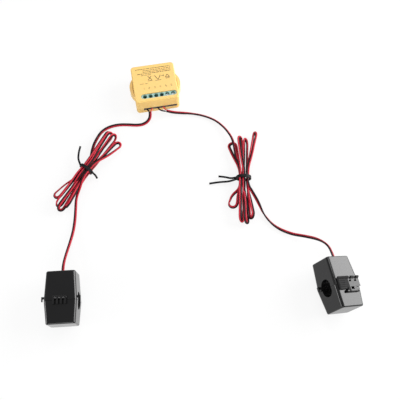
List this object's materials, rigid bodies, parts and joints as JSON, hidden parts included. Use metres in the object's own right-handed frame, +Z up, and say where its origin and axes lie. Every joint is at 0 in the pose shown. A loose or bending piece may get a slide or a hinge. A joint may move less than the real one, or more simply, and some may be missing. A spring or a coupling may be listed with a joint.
{
  "type": "smart energy monitor",
  "caption": "Wireless energy monitor: a small terminal module wired to split-core current clamps by tied twin leads.",
  "frame": {"origin": "centre of the underside of the module", "axes": "+Z up; the wires leave the module towards -Y; +X to the right seen from the wire side"},
  "size_m": [0.2441, 0.248, 0.0329],
  "materials": {
    "housing_yellow": "satin",
    "terminal_teal": "satin",
    "board_green": "satin",
    "contact_brass": "satin",
    "screw_steel": "satin",
    "shield_tin": "satin",
    "chip_black": "matte",
    "capacitor_sleeve": "satin",
    "capacitor_box": "matte",
    "varistor_blue": "satin",
    "ferrite": "matte",
    "winding_copper": "satin",
    "button_grey": "satin",
    "lamp_lens": "gloss",
    "bare_copper": "satin",
    "wire_black": "satin",
    "wire_red": "satin",
    "cord_twin": "satin",
    "tie_black": "matte",
    "clamp_black": "gloss",
    "pin_steel": "satin",
    "pad_foam": "matte",
    "bobbin_white": "satin"
  },
  "bodies": {
    "monitor": {"module_base": "housing_yellow", "module_cover": "housing_yellow", "circuit_board": "board_green", "terminal_block": "terminal_teal", "terminal_contacts": "contact_brass", "radio_board": "board_green", "radio_shield": "shield_tin", "metering_chip": "chip_black", "bulk_capacitor": "capacitor_sleeve", "film_capacitor": "capacitor_box", "varistor": "varistor_blue", "transformer_core": "ferrite", "transformer_winding": "winding_copper", "tact_switch": "chip_black", "status_lamp": "lamp_lens", "bare_wire_ends": "bare_copper", "left_tail_black": "wire_black", "left_tail_red": "wire_red", "left_module_lead": "cord_twin", "left_hank": "cord_twin", "left_hank_tie": "tie_black", "left_clamp_lead": "cord_twin", "left_clamp_body": "clamp_black", "left_hinge_pin": "pin_steel", "left_fixed_core": "ferrite", "left_bobbin": "bobbin_white", "left_winding": "winding_copper", "right_tail_black": "wire_black", "right_tail_red": "wire_red", "right_module_lead": "cord_twin", "right_hank": "cord_twin", "right_hank_tie": "tie_black", "right_clamp_lead": "cord_twin", "right_clamp_body": "clamp_black", "right_hinge_pin": "pin_steel", "right_fixed_core": "ferrite", "right_bobbin": "bobbin_white", "right_winding": "winding_copper"},
    "leaf_1": {"terminal_leaf_1": "contact_brass"},
    "screw_1": {"terminal_screw_1": "screw_steel"},
    "leaf_2": {"terminal_leaf_2": "contact_brass"},
    "screw_2": {"terminal_screw_2": "screw_steel"},
    "leaf_3": {"terminal_leaf_3": "contact_brass"},
    "screw_3": {"terminal_screw_3": "screw_steel"},
    "leaf_4": {"terminal_leaf_4": "contact_brass"},
    "screw_4": {"terminal_screw_4": "screw_steel"},
    "leaf_5": {"terminal_leaf_5": "contact_brass"},
    "screw_5": {"terminal_screw_5": "screw_steel"},
    "leaf_6": {"terminal_leaf_6": "contact_brass"},
    "screw_6": {"terminal_screw_6": "screw_steel"},
    "button": {"pairing_button": "button_grey", "switch_plunger": "button_grey"},
    "left_lid": {"left_clamp_lid": "clamp_black", "left_moving_core": "ferrite", "left_core_pad": "pad_foam"},
    "left_latch": {"left_latch": "clamp_black"},
    "right_lid": {"right_clamp_lid": "clamp_black", "right_moving_core": "ferrite", "right_core_pad": "pad_foam"},
    "right_latch": {"right_latch": "clamp_black"}
  },
  "joints": [
    {"name": "terminal_leaf_1_slide", "type": "slide", "parent": "monitor", "child": "leaf_1", "axis": [0, 0, 1], "range_m": [0, 0.0023]},
    {"name": "terminal_screw_1_turn", "type": "hinge", "parent": "leaf_1", "child": "screw_1", "pos_m": [-0.0105, -0.0136, 0.009], "axis": [0, 0, 1], "range_deg": [0, 1656]},
    {"name": "terminal_leaf_2_slide", "type": "slide", "parent": "monitor", "child": "leaf_2", "axis": [0, 0, 1], "range_m": [0, 0.0023]},
    {"name": "terminal_screw_2_turn", "type": "hinge", "parent": "leaf_2", "child": "screw_2", "pos_m": [-0.0055, -0.0136, 0.009], "axis": [0, 0, 1], "range_deg": [0, 1656]},
    {"name": "terminal_leaf_3_slide", "type": "slide", "parent": "monitor", "child": "leaf_3", "axis": [0, 0, 1], "range_m": [0, 0.0023]},
    {"name": "terminal_screw_3_turn", "type": "hinge", "parent": "leaf_3", "child": "screw_3", "pos_m": [-0.0005, -0.0136, 0.009], "axis": [0, 0, 1], "range_deg": [0, 1656]},
    {"name": "terminal_leaf_4_slide", "type": "slide", "parent": "monitor", "child": "leaf_4", "axis": [0, 0, 1], "range_m": [0, 0.0023]},
    {"name": "terminal_screw_4_turn", "type": "hinge", "parent": "leaf_4", "child": "screw_4", "pos_m": [0.0045, -0.0136, 0.009], "axis": [0, 0, 1], "range_deg": [0, 1656]},
    {"name": "terminal_leaf_5_slide", "type": "slide", "parent": "monitor", "child": "leaf_5", "axis": [0, 0, 1], "range_m": [-0.0023, 0]},
    {"name": "terminal_screw_5_turn", "type": "hinge", "parent": "leaf_5", "child": "screw_5", "pos_m": [0.0095, -0.0136, 0.009], "axis": [0, 0, 1], "range_deg": [-1656, 0]},
    {"name": "terminal_leaf_6_slide", "type": "slide", "parent": "monitor", "child": "leaf_6", "axis": [0, 0, 1], "range_m": [-0.0023, 0]},
    {"name": "terminal_screw_6_turn", "type": "hinge", "parent": "leaf_6", "child": "screw_6", "pos_m": [0.0145, -0.0136, 0.009], "axis": [0, 0, 1], "range_deg": [-1656, 0]},
    {"name": "pairing_button_press", "type": "slide", "parent": "monitor", "child": "button", "axis": [0, -1, 0], "range_m": [0, 0.0005], "stiffness_N_per_m": 1500, "springref_m": -0.0003},
    {"name": "left_clamp_lid_hinge", "type": "hinge", "parent": "monitor", "child": "left_lid", "pos_m": [-0.09821, -0.18333, 0.02674], "axis": [-0.9942, 0.108, 0], "range_deg": [0, 110]},
    {"name": "left_clamp_latch_pivot", "type": "hinge", "parent": "left_lid", "child": "left_latch", "pos_m": [-0.09888, -0.1895, 0.00115], "axis": [-0.9942, 0.108, 0], "range_deg": [0, 20], "stiffness_Nm_per_rad": 0.02, "springref_deg": -2.86},
    {"name": "right_clamp_lid_hinge", "type": "hinge", "parent": "monitor", "child": "right_lid", "pos_m": [0.10806, -0.20812, 0.00409], "axis": [0.865, 0.0423, -0.5], "range_deg": [0, 110]},
    {"name": "right_clamp_latch_pivot", "type": "hinge", "parent": "right_lid", "child": "right_latch", "pos_m": [0.12093, -0.2159, 0.02569], "axis": [0.865, 0.0423, -0.5], "range_deg": [0, 20], "stiffness_Nm_per_rad": 0.02, "springref_deg": -2.86}
  ]
}
